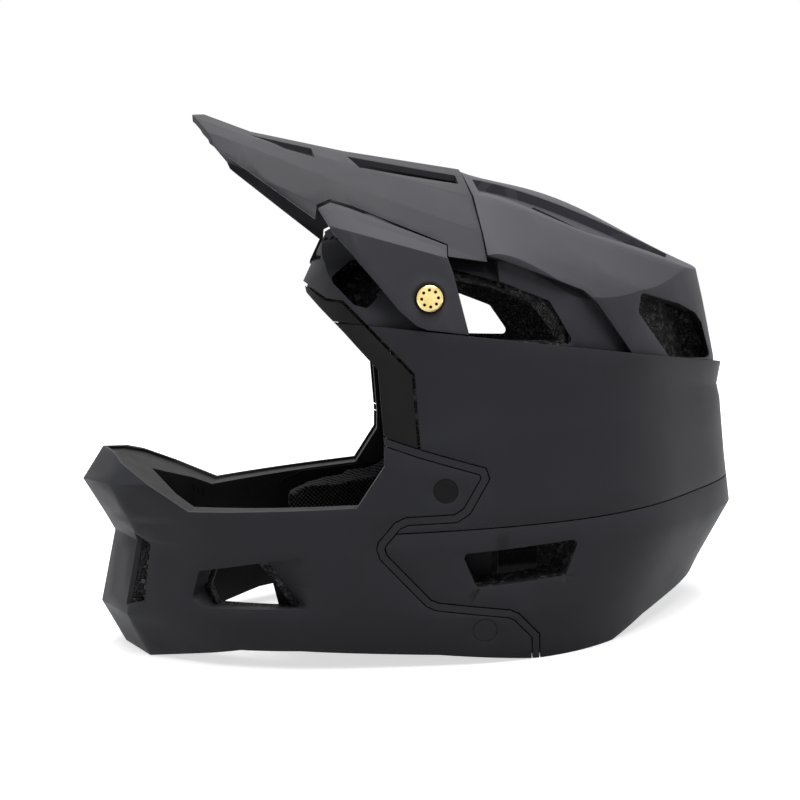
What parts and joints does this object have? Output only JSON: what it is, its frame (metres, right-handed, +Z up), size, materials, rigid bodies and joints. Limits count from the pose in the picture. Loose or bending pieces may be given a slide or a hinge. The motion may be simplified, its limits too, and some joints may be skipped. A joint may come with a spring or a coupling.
{
  "type": "downhill bicycle full face helmet",
  "caption": "Full face bicycle helmet with faceted vented shell, chin bar, tilting peak on side thumb screws, foam liners, pads and chin strap.",
  "frame": {"origin": "centre of the helmet's plan on the plane that it rests on", "axes": "-X is the front, -Y the wearer's left, +Z up"},
  "size_m": [0.3598, 0.22, 0.2863],
  "materials": {
    "shell_black": "matt black paint on a moulded shell",
    "shell_grey": "matt charcoal paint on a moulded shell",
    "peak_black": "matt moulded plastic",
    "trim_black": "soft black rubber trim",
    "plug_black": "matt black moulded plastic",
    "gold": "gold anodised",
    "steel": "plain",
    "foam_grey": "dark expanded foam with a bead texture",
    "liner_black": "matt black moulded inner skin",
    "pad_fabric": "black knit over foam",
    "webbing": "black woven webbing",
    "buckle": "black moulded plastic"
  },
  "bodies": {
    "shell": {"brow_pad": "pad_fabric", "buckle_socket": "buckle", "buckle_tongue": "buckle", "cheek_pad_left": "pad_fabric", "cheek_pad_right": "pad_fabric", "cheek_plate_left": "plug_black", "cheek_plate_right": "plug_black", "chin_bar": "shell_black", "chin_bolts": "steel", "chin_foam": "foam_grey", "chin_liner": "liner_black", "chin_strap_left": "webbing", "chin_strap_right": "webbing", "chin_strip_left": "trim_black", "chin_strip_right": "trim_black", "crown_foam": "foam_grey", "crown_pad": "pad_fabric", "crown_shell": "shell_grey", "eyeport_trim_left": "trim_black", "eyeport_trim_right": "trim_black", "front_mesh_left": "plug_black", "front_mesh_right": "plug_black", "lower_plugs": "plug_black", "lower_shell": "shell_black", "peak_insert_left": "steel", "peak_insert_right": "steel", "rear_pad": "pad_fabric", "side_foam": "foam_grey", "side_shell": "shell_black", "strap_rivet_left": "steel", "strap_rivet_right": "steel", "upper_plugs": "plug_black"},
    "peak": {"peak": "peak_black", "peak_arm_left": "shell_grey", "peak_arm_right": "shell_grey", "peak_washer_left": "plug_black", "peak_washer_right": "plug_black"},
    "screw_left": {"peak_screw_left": "gold"},
    "screw_right": {"peak_screw_right": "gold"}
  },
  "joints": [
    {"name": "peak_tilt", "type": "hinge", "parent": "shell", "child": "peak", "pos_m": [0.01188, 0, 0.17646], "axis": [0, -1, 0], "range_deg": [0, 12]},
    {"name": "screw_left_turn", "type": "hinge", "parent": "shell", "child": "screw_left", "pos_m": [0.01188, -0.105, 0.17646], "axis": [0, -1, 0], "continuous": true},
    {"name": "screw_right_turn", "type": "hinge", "parent": "shell", "child": "screw_right", "pos_m": [0.01188, 0.105, 0.17646], "axis": [0, 1, 0], "continuous": true}
  ]
}
